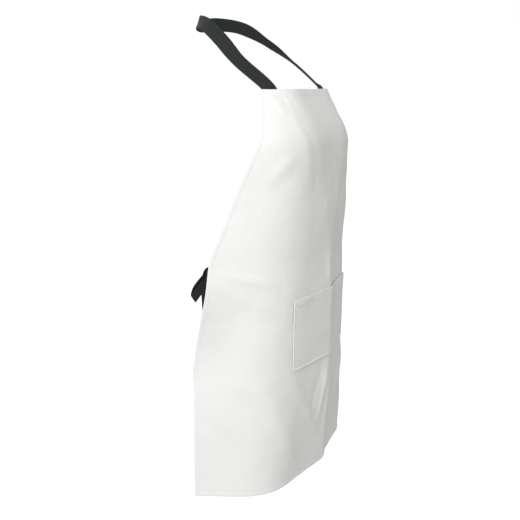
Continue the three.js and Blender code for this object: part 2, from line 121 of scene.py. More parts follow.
def body_at(values, drop):
    """One of the body's measures at each drop, as a smooth curve that never overshoots."""
    x = np.array(BODY_DROP, float)
    y = np.array(values, float)
    slope = np.diff(y) / np.diff(x)
    before, after = slope[:-1], slope[1:]
    both = before + after
    inner = np.where(before * after > 0, 2 * before * after / np.where(both == 0, 1, both), 0)
    tangent = np.concatenate([[slope[0]], inner, [slope[-1]]])
    k = np.clip(np.searchsorted(x, drop, side="right") - 1, 0, len(x) - 2)
    h = x[k + 1] - x[k]
    t = (drop - x[k]) / h
    return (
        (2 * t**3 - 3 * t**2 + 1) * y[k]
        + (t**3 - 2 * t**2 + t) * h * tangent[k]
        + (3 * t**2 - 2 * t**3) * y[k + 1]
        + (t**3 - t**2) * h * tangent[k + 1]
    )


# the hanging cloth as a fine lattice: drops down, distances across from the centre front
STEP = 2.0
drops = np.arange(0, LENGTH + STEP, STEP)
acrosses = np.arange(0, WIDTH / 2 + 8, STEP)


def hang_cloth():
    """The smooth shape: each level starts at the centre front and turns back round the body."""
    mid = (acrosses[:-1] + acrosses[1:])[None, :] / 2
    drop = drops[:, None]
    facet = CHEST_HALF * np.clip(1 - drop / CHEST_POINT, 0, None)
    crease = np.radians(CREASE_TURN) * smooth((mid - facet) / (CREASE_SPAN + 0.35 * facet) + 0.5)
    middle, span = body_at(BODY_MIDDLE, drop), body_at(BODY_SPAN, drop)
    side = np.radians(body_at(BODY_TURN, drop) - CREASE_TURN) * smooth((mid - middle + span / 2) / span)
    turn = crease + side
    zero = np.zeros((len(drops), 1))
    x = np.hstack([zero, np.cumsum(STEP * np.cos(turn), axis=1)])
    y = np.hstack([zero, np.cumsum(STEP * np.sin(turn), axis=1)]) + body_at(BODY_SETBACK, drop)
    z = np.repeat(-drop * FALL, len(acrosses), axis=1)
    right = np.stack([-x[:, :0:-1], y[:, :0:-1], z[:, :0:-1]], axis=-1)
    left = np.stack([x, y, z], axis=-1)
    return np.concatenate([right, left], axis=1) + SHIFT


hung = hang_cloth()
across_run = np.gradient(hung, axis=1)
down_run = np.gradient(hung, axis=0)
facing = np.cross(across_run, -down_run)
facing /= np.linalg.norm(facing, axis=-1, keepdims=True)


def between(grid, across, drop):
    """A value of the lattice at any place on the cloth."""
    x = np.clip((across + acrosses[-1]) / STEP, 0, grid.shape[1] - 1.001)
    y = np.clip(drop / STEP, 0, grid.shape[0] - 1.001)
    i, j = x.astype(int), y.astype(int)
    s, t = (x - i)[..., None], (y - j)[..., None]
    upper = grid[j, i] * (1 - s) + grid[j, i + 1] * s
    lower = grid[j + 1, i] * (1 - s) + grid[j + 1, i + 1] * s
    return upper * (1 - t) + lower * t


# ---- folds and unevenness of the cloth, in millimetres in front of the smooth shape ----
def fold(across, drop, start, end, width, height, fade):
    """A soft fold from start to end, each (across, drop), that dies away at both ends."""
    ax, ad = start
    run = np.array([end[0] - ax, end[1] - ad], float)
    length = np.linalg.norm(run)
    along = ((across - ax) * run[0] + (drop - ad) * run[1]) / length
    beside = ((across - ax) * run[1] - (drop - ad) * run[0]) / length
    t = along / length
    body = smooth(t / fade) * smooth((1 - t) / fade)
    return height * body * np.exp(-((beside / width) ** 2))


def unevenness(across, drop, seed, count, longest, shortest, height):
    """A sum of long waves in all directions, as slack cloth has."""
    dice = np.random.default_rng(seed)
    total = np.zeros(np.broadcast(across, drop).shape)
    for wave in dice.uniform(shortest, longest, count):
        angle = dice.uniform(0, math.pi)
        phase = dice.uniform(0, 2 * math.pi)
        total += (wave / longest) * np.sin(
            2 * math.pi * (across * math.cos(angle) + drop * math.sin(angle)) / wave + phase
        )
    return height * total / math.sqrt(count)


# each fold's start and end as (across, drop), its width, its height and the share of it that fades
FOLDS = [
    # soft diagonals below the pocket, falling from the sides towards the centre
    ((-190, 585), (-20, 800), 16, 4.0, 0.4),
    ((-260, 600), (-120, 850), 20, 3.4, 0.4),
    ((4, 594), (-50, 780), 9, 3.2, 0.35),
    ((-26, 598), (-84, 740), 12, -2.0, 0.4),
    ((16, 600), (-6, 800), 7, 1.8, 0.35),
    ((190, 590), (60, 820), 18, 3.4, 0.4),
    ((270, 620), (170, 860), 22, 3.2, 0.4),
    # short upright folds beside the crease, above and below the pocket
    ((4, 300), (13, 452), 4.5, 0.9, 0.4),
    ((20, 340), (24, 446), 5, 0.8, 0.4),
    ((-14, 345), (-7, 446), 6, 1.7, 0.4),
    ((8, 596), (2, 760), 6, 1.2, 0.4),
    ((-22, 598), (-12, 700), 8, 1.3, 0.4),
    # drag lines from the waist ties
    ((-345, 366), (-185, 405), 10, 2.0, 0.35),
    ((-345, 385), (-200, 470), 12, 1.4, 0.35),
    ((345, 366), (190, 400), 10, 2.0, 0.35),
    ((345, 388), (205, 480), 12, 1.4, 0.35),
    # the bib's pull below each strap
    ((-150, 8), (-100, 210), 13, 1.5, 0.35),
    ((-146, 126), (-236, 198), 11, 1.7, 0.4),
    ((-130, 150), (-222, 222), 14, -1.2, 0.4),
    ((-159, 4), (-152, 66), 4.5, 1.3, 0.35),
    ((-138, 6), (-134, 58), 5, -0.9, 0.35),
    ((150, 34), (142, 150), 9, 2.4, 0.3),
    ((118, 30), (122, 120), 8, -1.4, 0.3),
]
FALL_BACK = 6.5  # how much further back the wearer's left half hangs below the chest


def folds(across, drop):
    total = unevenness(across, drop, seed=4, count=16, longest=210, shortest=70, height=1.0)
    total += unevenness(across, drop, seed=9, count=22, longest=60, shortest=22, height=0.26)
    for start, end, width, height, fade in FOLDS:
        total += fold(across, drop, start, end, width, height, fade)
    wander = 4 * np.sin(drop / 47 + 0.6) + 2 * np.sin(drop / 19)
    return total - FALL_BACK * smooth((across + 4 + wander) / 62) * smooth((drop - 240) / 140)


def edge_slant(drop):
    """How much shorter the way straight out to the side edge is than the way across."""
    rise = (half_width(drop + 1) - half_width(drop - 1)) / 2
    return 1 / np.sqrt(1 + rise**2)


def side_distance(across, drop):
    """How far in from the side edge a place lies."""
    return (half_width(drop) - np.abs(across)) * edge_slant(np.clip(drop, 2, LENGTH))


def hem_relief(distance, depth, run, seed):
    """A hem seen from the front: plies that puff the band, a line of stitches that draws it in."""
    line = depth - STITCH_IN
    draw = 1 + 0.5 * np.sin(run / 2.7 + seed) * np.sin(run / 8.3 + 2 * seed)
    puff = 0.35 * smooth((depth - distance) / 1.5) * np.sqrt(np.clip(distance / 3, 0, 1))
    groove = -0.5 * draw * np.exp(-(((distance - line) / 1.3) ** 2))
    pucker = 0.22 * np.sin(run / 2.1 + seed) * np.sin(run / 6.1 + 3 * seed)
    return puff + groove + pucker * np.exp(-(((distance - line) / 6) ** 2))


def hem_at(across, drop):
    """The relief of all the panel's hems together."""
    side = side_distance(across, drop)
    total = hem_relief(side, EDGE_HEM, drop, 1.3)
    total += hem_relief(drop, TOP_HEM, across, 2.1)
    total += hem_relief(LENGTH - drop, EDGE_HEM, across, 0.4)
    return total


def on_cloth(across, drop, out=0.0, relief=True):
    """A place on the hanging cloth, or out along its normal; relief adds its folds and hems."""
    across, drop = np.broadcast_arrays(np.asarray(across, float), np.asarray(drop, float))
    lift = out + (folds(across, drop) + hem_at(across, drop) if relief else 0)
    lift = np.broadcast_to(lift, across.shape)
    normal = between(facing, across, drop)
    normal = normal / np.linalg.norm(normal, axis=-1, keepdims=True)
    return between(hung, across, drop) + normal * lift[..., None]


# ---- making meshes ----
def outward(obj):
    """Turns every face of a closed mesh outwards."""
    bpy.ops.object.select_all(action="DESELECT")
    bpy.context.view_layer.objects.active = obj
    obj.select_set(True)
    bpy.ops.object.mode_set(mode="EDIT")
    bpy.ops.mesh.select_all(action="SELECT")
    bpy.ops.mesh.normals_make_consistent(inside=False)
    bpy.ops.mesh.select_all(action="DESELECT")
    bpy.ops.object.mode_set(mode="OBJECT")
    obj.select_set(False)


def mesh_piece(name, points, faces, uvs, material):
    """A closed piece from points in millimetres; uvs holds each point's place on the flat cloth."""
    mesh = bpy.data.meshes.new(name)
    mesh.from_pydata((np.asarray(points) * MM).tolist(), [], faces)
    if uvs is not None:
        layer = mesh.uv_layers.new(name="cloth_place")
        corner = np.empty(len(mesh.loops), int)
        mesh.loops.foreach_get("vertex_index", corner)
        layer.data.foreach_set("uv", np.asarray(uvs, np.float32)[corner].ravel())
    mesh.shade_smooth()
    mesh.materials.append(material)
    mesh.validate()
    obj = bpy.data.objects.new(name, mesh)
    bpy.context.scene.collection.objects.link(obj)
    outward(obj)
    return obj


def two_sided(front, back, uv):
    """A closed sheet from two lattices of points that meet along their border."""
    rows, cols = front.shape[:2]
    number = np.arange(rows * cols).reshape(rows, cols)
    behind = number + rows * cols
    behind[0], behind[-1] = number[0], number[-1]
    behind[:, 0], behind[:, -1] = number[:, 0], number[:, -1]
    points = np.concatenate([front.reshape(-1, 3), back.reshape(-1, 3)])
    uvs = np.concatenate([uv.reshape(-1, 2)] * 2)
    quads = []
    for grid, order in ((number, (0, 1, 2, 3)), (behind, (3, 2, 1, 0))):
        corners = [grid[:-1, :-1], grid[1:, :-1], grid[1:, 1:], grid[:-1, 1:]]
        quads.append(np.stack([corners[k].ravel() for k in order], axis=1))
    faces = np.concatenate(quads)
    used = np.unique(faces)
    place = np.zeros(len(points), int)
    place[used] = np.arange(len(used))
    return points[used], place[faces].tolist(), uvs[used]


def rounded(distance, radius):
    """From 0 at a turned edge to 1 where the sheet has its full thickness."""
    t = np.clip(distance / radius, 0, 1)
    return np.sqrt(np.clip(1 - (1 - t) ** 2, 0, 1))


def run_along(line):
    """Distance from a line's first point to each of its points."""
    return np.concatenate([[0], np.cumsum(np.linalg.norm(np.diff(line, axis=0), axis=1))])


def along(run, values, at):
    """Values given at each point of a run, read at other distances along it."""
    values = np.asarray(values, float)
    if values.ndim == 1:
        return np.interp(at, run, values)
    return np.stack([np.interp(at, run, column) for column in values.T], axis=-1)


def model_stitch():
    """One stitch along X, a unit long and a unit thick, with both ends drawn down into the cloth."""
    rings = [(-0.5, 0.35), (-0.3, 0.9), (0.0, 1.0), (0.3, 0.9), (0.5, 0.35)]  # place, thickness
    place, thick = rings[0]
    bpy.ops.object.select_all(action="DESELECT")
    bpy.ops.mesh.primitive_circle_add(
        vertices=5,
        radius=thick / 2,
        fill_type="NGON",
        location=(place, 0, -2 * place**2),
        rotation=(0, math.pi / 2, 0),
    )
    stitch = bpy.context.object
    bpy.ops.object.mode_set(mode="EDIT")
    bpy.ops.mesh.select_all(action="SELECT")
    for next_place, next_thick in rings[1:]:
        move = (next_place - place, 0, 2 * place**2 - 2 * next_place**2)
        bpy.ops.mesh.extrude_region_move(TRANSFORM_OT_translate={"value": move})
        growth = next_thick / thick
        middle = (next_place, 0, -2 * next_place**2)
        bpy.ops.transform.resize(value=(growth, growth, growth), center_override=middle)
        place, thick = next_place, next_thick
    bpy.ops.object.mode_set(mode="OBJECT")
    bpy.ops.object.transform_apply(location=True, rotation=True, scale=True)
    mesh = stitch.data
    points = np.array([v.co for v in mesh.vertices])
    faces = [tuple(p.vertices) for p in mesh.polygons]
    bpy.data.objects.remove(stitch)
    bpy.data.meshes.remove(mesh)
    return points, faces


STITCH, STITCH_FACES = model_stitch()
STITCH_RAISE = 0.15  # how far a stitch stands off the cloth
LINE_SAMPLES = 400


def stitch_line(name, places, pitch, bulk=0.42):
    """A row of copies of the stitch; places(t) gives the line's points and normals, t from 0 to 1."""
    line, normal = places(np.linspace(0, 1, LINE_SAMPLES))
    run = run_along(line)
    dice = np.random.default_rng(len(name))
    points, faces = [], []
    for k in range(max(2, int(run[-1] / pitch))):
        at = (k + 0.5) * pitch
        length = pitch * dice.uniform(0.66, 0.76)
        middle = along(run, line, at)
        ahead = along(run, line, at + 0.4) - middle
        ahead /= max(np.linalg.norm(ahead), 1e-9)
        up = along(run, normal, at)
        up -= ahead * up.dot(ahead)
        up /= np.linalg.norm(up)
        beside = np.cross(ahead, up)
        sized = STITCH * (length, bulk, bulk)
        points.append(middle + up * STITCH_RAISE + sized @ np.array([ahead, beside, up]))
        faces += [[k * len(STITCH) + n for n in face] for face in STITCH_FACES]
    return mesh_piece(name, np.concatenate(points), faces, None, white_thread)


# ---- materials ----
def node_of(tree, kind, x, y, sockets=None, **values):
    """A node at its place, with its settings and then the values of its own sockets."""
    node = tree.nodes.new(kind)
    node.location = (x, y)
    for key, value in values.items():
        setattr(node, key, value)
    for socket, value in (sockets or {}).items():
        node.inputs[socket].default_value = value
    return node


def group_of(name, inputs, outputs):
    tree = bpy.data.node_groups.new(name, "ShaderNodeTree")
    for label, kind, default in inputs:
        socket = tree.interface.new_socket(name=label, in_out="INPUT", socket_type=kind)
        if default is not None:
            socket.default_value = default
    for label, kind in outputs:
        tree.interface.new_socket(name=label, in_out="OUTPUT", socket_type=kind)
    given = node_of(tree, "NodeGroupInput", -900, 0)
    result = node_of(tree, "NodeGroupOutput", 900, 0)
    return tree, given, result


def weave_group():
    """Plain or twill weave: a height, and a slow mottle of how tight and how clean the cloth is."""
    tree, given, result = group_of(
        "weave",
        [
            ("Place", "NodeSocketVector", None),
            ("Warp Pitch", "NodeSocketFloat", 0.0008),
            ("Weft Pitch", "NodeSocketFloat", 0.0008),
            ("Mottle Size", "NodeSocketFloat", 40.0),
        ],
        [
            ("Height", "NodeSocketFloat"),
            ("Mottle", "NodeSocketFloat"),
            ("Slub", "NodeSocketFloat"),
            ("Crumple", "NodeSocketFloat"),
        ],
    )
    link = tree.links.new
    apart = node_of(tree, "ShaderNodeSeparateXYZ", -700, 100)
    link(given.outputs["Place"], apart.inputs[0])
    waves = []
    for k, pitch in enumerate(("Warp Pitch", "Weft Pitch")):
        y = 250 - 200 * k
        turns = node_of(tree, "ShaderNodeMath", -500, y, operation="DIVIDE")
        link(apart.outputs[k], turns.inputs[0])
        link(given.outputs[pitch], turns.inputs[1])
        circle = node_of(tree, "ShaderNodeMath", -330, y, {1: 2 * math.pi}, operation="MULTIPLY")
        link(turns.outputs[0], circle.inputs[0])
        wave = node_of(tree, "ShaderNodeMath", -160, y, operation="SINE")
        link(circle.outputs[0], wave.inputs[0])
        waves.append(wave)
    crossed = node_of(tree, "ShaderNodeMath", 20, 150, operation="MULTIPLY")
    link(waves[0].outputs[0], crossed.inputs[0])
    link(waves[1].outputs[0], crossed.inputs[1])
    raised = node_of(tree, "ShaderNodeMath", 200, 150, {1: 0.5, 2: 0.5}, operation="MULTIPLY_ADD")
    link(crossed.outputs[0], raised.inputs[0])
    mottle = node_of(tree, "ShaderNodeTexNoise", 20, -120, {"Detail": 4})
    link(given.outputs["Place"], mottle.inputs["Vector"])
    link(given.outputs["Mottle Size"], mottle.inputs["Scale"])
    stretched = node_of(tree, "ShaderNodeMapping", -160, -380, {"Scale": (900, 60, 1)})
    link(given.outputs["Place"], stretched.inputs["Vector"])
    slub = node_of(tree, "ShaderNodeTexNoise", 20, -380, {"Scale": 1, "Detail": 3})
    link(stretched.outputs[0], slub.inputs["Vector"])
    crumple = node_of(
        tree, "ShaderNodeTexNoise", 20, -640, {"Scale": 75, "Detail": 3, "Distortion": 0.6}
    )
    link(given.outputs["Place"], crumple.inputs["Vector"])
    link(raised.outputs[0], result.inputs["Height"])
    link(mottle.outputs["Fac"], result.inputs["Mottle"])
    link(slub.outputs["Fac"], result.inputs["Slub"])
    link(crumple.outputs["Fac"], result.inputs["Crumple"])
    return tree


WEAVE = weave_group()


def woven_material(
    name, dark, light, rough, sheen, pitch, bump, mottle_size, crumple, yarn=0.0, place_from="UV"
):
    """Cloth, webbing or thread: two close tones laid by the mottle, over a weave bump."""
    material = bpy.data.materials.new(name)
    material.use_nodes = True
    tree = material.node_tree
    tree.nodes.clear()
    link = tree.links.new
    place = node_of(tree, "ShaderNodeTexCoord", -900, 0)
    weave = node_of(
        tree,
        "ShaderNodeGroup",
        -650,
        0,
        {"Warp Pitch": pitch[0], "Weft Pitch": pitch[1], "Mottle Size": mottle_size},
        node_tree=WEAVE,
    )
    link(place.outputs[place_from], weave.inputs["Place"])

    # the two tones: long streaks of the yarn, slow patches, and the raised threads themselves
    streaks = node_of(tree, "ShaderNodeMath", -600, 350, {1: 0.5, 2: -0.1}, operation="MULTIPLY_ADD")
    link(weave.outputs["Slub"], streaks.inputs[0])
    patches = node_of(tree, "ShaderNodeMath", -600, 200, {1: 0.9, 2: -0.1}, operation="MULTIPLY_ADD")
    link(weave.outputs["Mottle"], patches.inputs[0])
    amount = node_of(tree, "ShaderNodeMath", -500, 250, operation="ADD", use_clamp=True)
    link(streaks.outputs[0], amount.inputs[0])
    link(patches.outputs[0], amount.inputs[1])
    threads = node_of(
        tree, "ShaderNodeMath", -420, 330, {1: yarn}, operation="MULTIPLY_ADD", use_clamp=True
    )
    link(weave.outputs["Height"], threads.inputs[0])
    link(amount.outputs[0], threads.inputs[2])
    tone = node_of(
        tree, "ShaderNodeMix", -350, 150, {"A": (*dark, 1), "B": (*light, 1)}, data_type="RGBA"
    )
    link(threads.outputs[0], tone.inputs["Factor"])

    # the surface: slack cloth, and the weave on it
    relief = node_of(tree, "ShaderNodeMath", -350, -150, {1: 0.5}, operation="MULTIPLY_ADD")
    link(weave.outputs["Slub"], relief.inputs[0])
    link(weave.outputs["Height"], relief.inputs[2])
    slack = node_of(tree, "ShaderNodeBump", -350, -350, {"Strength": 0.5, "Distance": crumple})
    link(weave.outputs["Crumple"], slack.inputs["Height"])
    woven = node_of(tree, "ShaderNodeBump", -150, -150, {"Strength": bump[0], "Distance": bump[1]})
    link(slack.outputs["Normal"], woven.inputs["Normal"])
    link(relief.outputs[0], woven.inputs["Height"])
    shader = node_of(
        tree,
        "ShaderNodeBsdfPrincipled",
        100,
        0,
        {
            "Roughness": rough,
            "Sheen Weight": sheen,
            "Sheen Roughness": 0.5,
            "Specular IOR Level": 0.3,
        },
    )
    link(tone.outputs["Result"], shader.inputs["Base Color"])
    link(woven.outputs["Normal"], shader.inputs["Normal"])
    end = node_of(tree, "ShaderNodeOutputMaterial", 400, 0)
    link(shader.outputs[0], end.inputs["Surface"])
    return material


white_cloth = woven_material(
    "white_drill",
    dark=(0.80, 0.80, 0.785),
    light=(0.88, 0.88, 0.868),
    rough=0.72,
    sheen=0.12,
    pitch=(0.0009, 0.0007),
    bump=(0.25, 0.0001),
    mottle_size=9,
    crumple=0.0012,
    yarn=0.15,
)
white_thread = woven_material(
    "white_thread",
    dark=(0.80, 0.80, 0.78),
    light=(0.90, 0.90, 0.88),
    rough=0.55,
    sheen=0.0,
    pitch=(0.0006, 0.0006),
    bump=(0.15, 0.00005),
    mottle_size=60,
    crumple=0.0,
    place_from="Object",
)
dark_webbing = woven_material(
    "charcoal_webbing",
    dark=(0.005, 0.007, 0.007),
    light=(0.018, 0.024, 0.023),
    rough=0.80,
    sheen=0.06,
    pitch=(0.0026, 0.0019),
    bump=(0.7, 0.0003),
    mottle_size=120,
    crumple=0.0004,
    yarn=0.6,
)


# ---- the apron panel with its turned hems ----
def lattice_of_panel():
    """Places on the cut cloth, closest where a hem's edge, stitches and end fall."""
    edge = np.array(
        [0, 0.12, 0.4, 0.8, 1.2, 2.2, 3.6, 5.6, 7.4, 8.6, 9.5, 10.2, 11, 11.9, 12.15, 13.4]
    )
    middle = np.linspace(-1, 1, 146)[1:-1]
    top = np.array([0, 0.12, 0.4, 0.8, 1.2, 2.5, 5, 8, 11, 13.5, 15, 16, 17, 17.9, 18.15, 20])
    rows = np.concatenate([top, np.linspace(20, LENGTH - edge[-1], 176)[1:], LENGTH - edge[-2::-1]])
    drop = rows[:, None]
    half = half_width(drop)
    inwards = edge[None, :] / edge_slant(np.clip(drop, 2, LENGTH))
    inner = half - inwards[:, -1:]
    across = np.hstack([-(half - inwards), middle[None, :] * inner, (half - inwards)[:, ::-1]])
    return across, np.repeat(drop, across.shape[1], axis=1)


def build_panel():
    across, drop = lattice_of_panel()
    side = side_distance(across, drop)
    edge = np.minimum(np.minimum(side, drop), LENGTH - drop)
    in_hem = (side < EDGE_HEM) | (drop < TOP_HEM) | (LENGTH - drop < EDGE_HEM)
    full = rounded(edge, 1.1)
    back = np.where(in_hem, -HEM_PLIES, -CLOTH / 2)
    middle = (CLOTH / 2 - HEM_PLIES) / 2
    front_out = middle + (CLOTH / 2 - middle) * full
    back_out = middle + (back - middle) * full
    uv = np.stack([across * MM, -drop * MM], axis=-1)
    points, faces, uvs = two_sided(
        on_cloth(across, drop, front_out), on_cloth(across, drop, back_out), uv
    )
    return mesh_piece("apron_cloth", points, faces, uvs, white_cloth)


panel = build_panel()
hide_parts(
    "apron_panel",
    "top_hem",
    "bottom_hem",
    "armhole_hem_right",
    "armhole_hem_left",
    "side_hem_right",
    "side_hem_left",
)


# ---- the pocket: three sides turned under and sewn, the mouth hemmed and a little open ----
def pocket_relief(x, up):
    """The pocket's seams and creases; x across from its middle, up from its bottom edge."""
    side = np.minimum(POCKET_WIDTH / 2 - np.abs(x), up)
    mouth = POCKET_HEIGHT - up
    puff = 1.1 * smooth((SEAM_TURN - side) / 1.2) * np.sqrt(np.clip(side / 1.6, 0, 1))
    draw = 1 + 0.5 * np.sin((x + up) / 2.4) * np.sin((x + up) / 7.1 + 1)
    groove = -0.8 * draw * np.exp(-(((side - SEAM_INSET) / 1.1) ** 2))
    pucker = 0.3 * np.sin((x - up) / 2.6) * np.sin((x + up) / 9 + 2)
    sewn = puff + groove + pucker * np.exp(-(((side - 6) / 7) ** 2))
    band = 0.4 * smooth((MOUTH_HEM - mouth) / 1.5) * np.sqrt(np.clip(mouth / 2, 0, 1))
    line = -0.5 * np.exp(-(((mouth - MOUTH_LINE) / 1.2) ** 2))
    wave = 0.25 * np.sin(x / 3.1) * np.sin(x / 8.7) * np.exp(-(((mouth - MOUTH_HEM) / 8) ** 2))
    # creases that run in from the mouth's two corners, where the tacks hold it
    corner = np.zeros_like(x)
    start = (POCKET_WIDTH / 2 - 4, 6)
    for hand in (-1, 1):
        for reach, fall, size in ((60, 24, 1.0), (44, 52, 0.8), (86, 8, 0.7)):
            end = (POCKET_WIDTH / 2 - reach, fall)
            corner += fold(x * hand, mouth, start, end, 4.2, size, 0.35)
    return sewn + band + line + wave + corner


def pocket_stand(x, up):
    """How far the pocket's inner face stands in front of the apron's face."""
    middle = np.cos(np.clip(x / POCKET_WIDTH, -0.5, 0.5) * math.pi) ** 2
    height = np.clip(up / POCKET_HEIGHT, 0, 1)
    slack = 0.5 * middle * np.sin(math.pi * height**0.8) ** 2
    hem_room = 1.0 * smooth((height - 0.6) / 0.25)
    return 0.55 + slack + hem_room + 0.4 * height**2 * middle**2


def on_pocket(x, up, out):
    drop = POCKET_DROP + POCKET_HEIGHT - up
    lift = CLOTH / 2 + pocket_stand(x, up) + pocket_relief(x, up) + out
    return on_cloth(x, drop, lift + folds(x, drop), relief=False)


def build_pocket():
    edge = np.array([0, 0.15, 0.5, 1.0, 1.8, 2.8, 3.8, SEAM_INSET, 5.4, 6.2, 7.4, 9])
    xs = np.concatenate([
        -POCKET_WIDTH / 2 + edge,
        np.linspace(-POCKET_WIDTH / 2 + 9, POCKET_WIDTH / 2 - 9, 130)[1:-1],
        POCKET_WIDTH / 2 - edge[::-1],
    ])
    mouth = POCKET_HEIGHT - np.array(
        [22, 20, 19, 18, 17.2, 16, 13, 10, 7, 4.5, 2.5, 1.2, 0.6, 0.2, 0]
    )
    ups = np.concatenate([edge, np.linspace(9, POCKET_HEIGHT - 22, 62)[1:-1], mouth])
    x, up = np.meshgrid(xs, ups[::-1])
    side = np.minimum(POCKET_WIDTH / 2 - np.abs(x), up)
    top = POCKET_HEIGHT - up
    full = rounded(np.minimum(side, top), 0.9)
    in_mouth = top < MOUTH_HEM
    thick = CLOTH + np.where(in_mouth, CLOTH + 0.1, 0) * smooth((side - 4) / 4)
    front_out = CLOTH / 2 + CLOTH / 2 * full
    back_out = CLOTH / 2 - (thick - CLOTH / 2) * full
    uv = np.stack([x * MM + 0.003, (up - POCKET_DROP) * MM], axis=-1)
    points, faces, uvs = two_sided(on_pocket(x, up, front_out), on_pocket(x, up, back_out), uv)
    return mesh_piece("pocket_cloth", points, faces, uvs, white_cloth)


pocket = build_pocket()
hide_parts("pocket", "pocket_mouth_hem")


# ---- stitching, each line where the hem's groove runs ----
HEM_PITCH = 3.2
POCKET_PITCH = 2.8
TACK_PITCH = 1.15
BOX_PITCH = 2.3


def cloth_line(path, out):
    """A line of stitches on the panel, on its front or its back."""
    def places(t):
        across, drop = path(t)
        normal = between(facing, across, drop)
        return on_cloth(across, drop, out), normal if out > 0 else -normal
    return places


def pocket_line(path, out=CLOTH):
    """A line of stitches on the pocket's front."""
    def places(t):
        x, up = path(t)
        return on_pocket(x, up, out), between(facing, x, POCKET_DROP + POCKET_HEIGHT - up)
    return places


def edge_path(hand, start, end):
    """The hem's stitches down one side edge, from one drop to another."""
    def path(t):
        drop = start + (end - start) * t
        inwards = (EDGE_HEM - STITCH_IN) / edge_slant(np.clip(drop, 2, LENGTH))
        return hand * (half_width(drop) - inwards), drop
    return path


def level_path(half, drop):
    """Stitches straight across the apron or the pocket."""
    return lambda t: ((2 * t - 1) * half, np.full_like(t, drop))


hem_paths = {
    "top_hem": level_path(BIB_WIDTH / 2 - 1, TOP_HEM - STITCH_IN),
    "bottom_hem": level_path(WIDTH / 2 - 2, LENGTH - EDGE_HEM + STITCH_IN),
    "armhole_right": edge_path(-1, 3, ARMHOLE_DROP - 3),
    "armhole_left": edge_path(1, 3, ARMHOLE_DROP - 3),
    "side_right": edge_path(-1, ARMHOLE_DROP + 2, LENGTH - 3),
    "side_left": edge_path(1, ARMHOLE_DROP + 2, LENGTH - 3),
}
stitching = []
for hem_name, hem_path in hem_paths.items():
    for face, out in (("", CLOTH / 2), ("_inside", -HEM_PLIES)):
        name = "stitching_" + hem_name + face
        stitching.append(stitch_line(name, cloth_line(hem_path, out), HEM_PITCH))


def pocket_seam(t):
    """Down one side of the pocket, along its bottom and up the other side."""
    half, top = POCKET_WIDTH / 2 - SEAM_INSET, POCKET_HEIGHT - 4
    down = top - SEAM_INSET
    run = t * (2 * down + 2 * half)
    x = np.clip(run - down - half, -half, half)
    up = np.maximum(top - run, np.maximum(SEAM_INSET, run - down - 2 * half + SEAM_INSET))
    return x, np.minimum(up, top)


pocket_mouth = level_path(POCKET_WIDTH / 2 - 6, POCKET_HEIGHT - MOUTH_LINE)
stitching += [
    stitch_line("stitching_pocket_seam", pocket_line(pocket_seam), POCKET_PITCH),
    stitch_line("stitching_pocket_mouth", pocket_line(pocket_mouth), POCKET_PITCH),
]

TACK_IN = 4.4
TACK_LENGTH = 12
TACK_WIDTH = 2.4
TACK_ROWS = 26
for side_name, hand in (("right", -1), ("left", 1)):
    def to_and_fro(t, hand=hand):
        """Close threads laid to and fro across a short upright bar."""
        swing = 2 * np.abs((t * TACK_ROWS % 2) - 1) - 1
        x = hand * (POCKET_WIDTH / 2 - TACK_IN) + swing * TACK_WIDTH / 2
        return x, POCKET_HEIGHT - 8 + (t - 0.5) * TACK_LENGTH

    tack = stitch_line(
        "bar_tack_pocket_" + side_name, pocket_line(to_and_fro, CLOTH + 0.25), TACK_PITCH, bulk=0.55
    )
    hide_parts("pocket_tack_" + side_name)
    stitching.append(tack)


def box_stitch(name, middle, size, out, across_the_body):
    """A sewn box with a cross, through the cloth and the webbing behind it."""
    w, h = size[0] / 2, size[1] / 2
    corners = np.array(
        [(-w, -h), (w, -h), (w, h), (-w, h), (-w, -h), (w, h), (w, -h), (-w, h)], float
    )
    run = run_along(corners)

    def places(t):
        beside, above = along(run, corners, t * run[-1]).T
        x, drop = middle[0] + beside, middle[1] - above
        normal = between(facing, x, drop)
        if out > 0:
            return on_cloth(x, drop, out), normal
        # inside, the thread lies on webbing that is flat across its width
        under = folds(x, middle[1]) if across_the_body else folds(middle[0], drop)
        return on_cloth(x, drop, out + under, relief=False), -normal

    return stitch_line(name, places, BOX_PITCH, bulk=0.5)


strap_across = BIB_WIDTH / 2 - STRAP_INSET - WEB_WIDTH / 2
BOX_STITCH = 18
tie_across = half_width(np.array(float(TIE_DROP))) - TIE_INSET - SEWN_LENGTH / 2
STRAP_OUT = -HEM_PLIES - 0.3 - WEB_THICK / 2
TIE_OUT = STRAP_OUT - 0.4
for side_name, hand in (("right", -1), ("left", 1)):
    for kind, middle, size, behind in (
        ("strap", (hand * strap_across, TOP_HEM / 2), (20, 11), STRAP_OUT),
        ("tie", (hand * tie_across, TIE_DROP), (BOX_STITCH, BOX_STITCH), TIE_OUT),
    ):
        name = "box_stitch_" + kind + "_" + side_name
        across_the_body = kind == "tie"
        shown = box_stitch(name, middle, size, CLOTH / 2, across_the_body)
        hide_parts(kind + "_stitch_" + side_name)
        inside = box_stitch(
            name + "_inside", middle, size, behind - WEB_THICK / 2, across_the_body
        )
        stitching += [shown, inside]


# ---- webbing ----
SPAN_STEPS = 16


